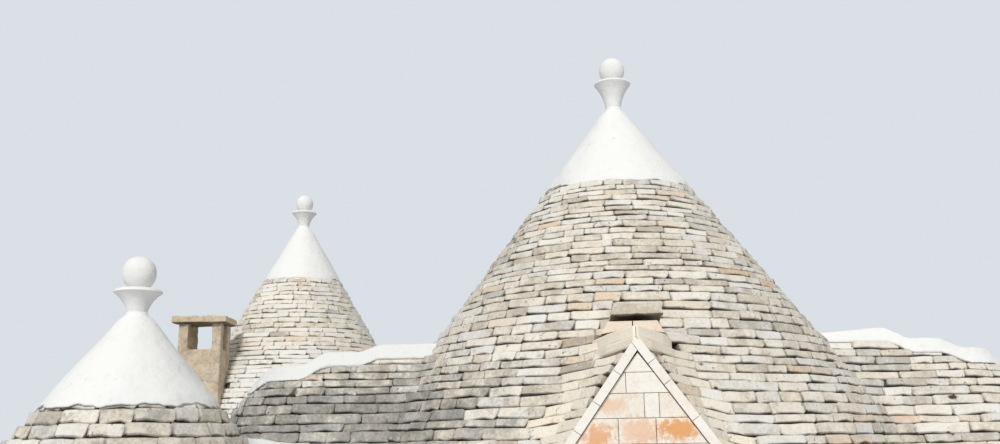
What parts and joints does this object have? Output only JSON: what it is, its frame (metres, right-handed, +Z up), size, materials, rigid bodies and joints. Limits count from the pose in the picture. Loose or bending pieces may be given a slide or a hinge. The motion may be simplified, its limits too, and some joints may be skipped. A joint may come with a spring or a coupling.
{
  "type": "trullo house",
  "caption": "Dry-stone house of conical roofs with white caps and ball finials, a gabled doorway, rounded stone shoulders, a small round annex and a chimney.",
  "frame": {"origin": "ground level under the axis of the large cone, on the underside of the main floor", "axes": "+Z up; -Y towards the gabled doorway side; +X to the right seen from that side"},
  "size_m": [9.6198, 9.6997, 6.096],
  "materials": {
    "dry_stone": "matte",
    "lime_plaster": "matte",
    "lime_wash": "matte",
    "pale_ashlar": "matte",
    "paving": "matte",
    "tuff": "matte"
  },
  "bodies": {
    "root": {"annex_eaves": "dry_stone", "annex_finial": "lime_plaster", "annex_floor": "paving", "annex_roof": "dry_stone", "annex_wall_left": "lime_wash", "annex_wall_right": "lime_wash", "annex_white_cap": "lime_plaster", "back_wall_left": "lime_wash", "back_wall_right": "lime_wash", "chimney_slab": "tuff", "chimney_stack": "tuff", "door_arch": "lime_wash", "door_pier_left": "lime_wash", "door_pier_right": "lime_wash", "door_step": "paving", "front_wall_left": "lime_wash", "front_wall_right": "lime_wash", "gable_rake_left": "pale_ashlar", "gable_rake_right": "pale_ashlar", "left_coping": "lime_plaster", "left_end_wall": "lime_wash", "left_shoulder": "dry_stone", "main_eaves": "dry_stone", "main_finial": "lime_plaster", "main_floor": "paving", "main_roof": "dry_stone", "main_white_cap": "lime_plaster", "passage_roof": "dry_stone", "passage_wall_left": "lime_wash", "passage_wall_right": "lime_wash", "porch_roof": "dry_stone", "rear_eaves": "dry_stone", "rear_finial": "lime_plaster", "rear_floor": "paving", "rear_roof": "dry_stone", "rear_wall_left": "lime_wash", "rear_wall_right": "lime_wash", "rear_white_cap": "lime_plaster", "ridge_stones": "pale_ashlar", "right_coping": "lime_plaster", "right_end_wall": "lime_wash", "right_shoulder": "dry_stone", "shelf_stone": "pale_ashlar", "tympanum": "pale_ashlar", "valley_plaster": "lime_plaster"}
  },
  "joints": []
}
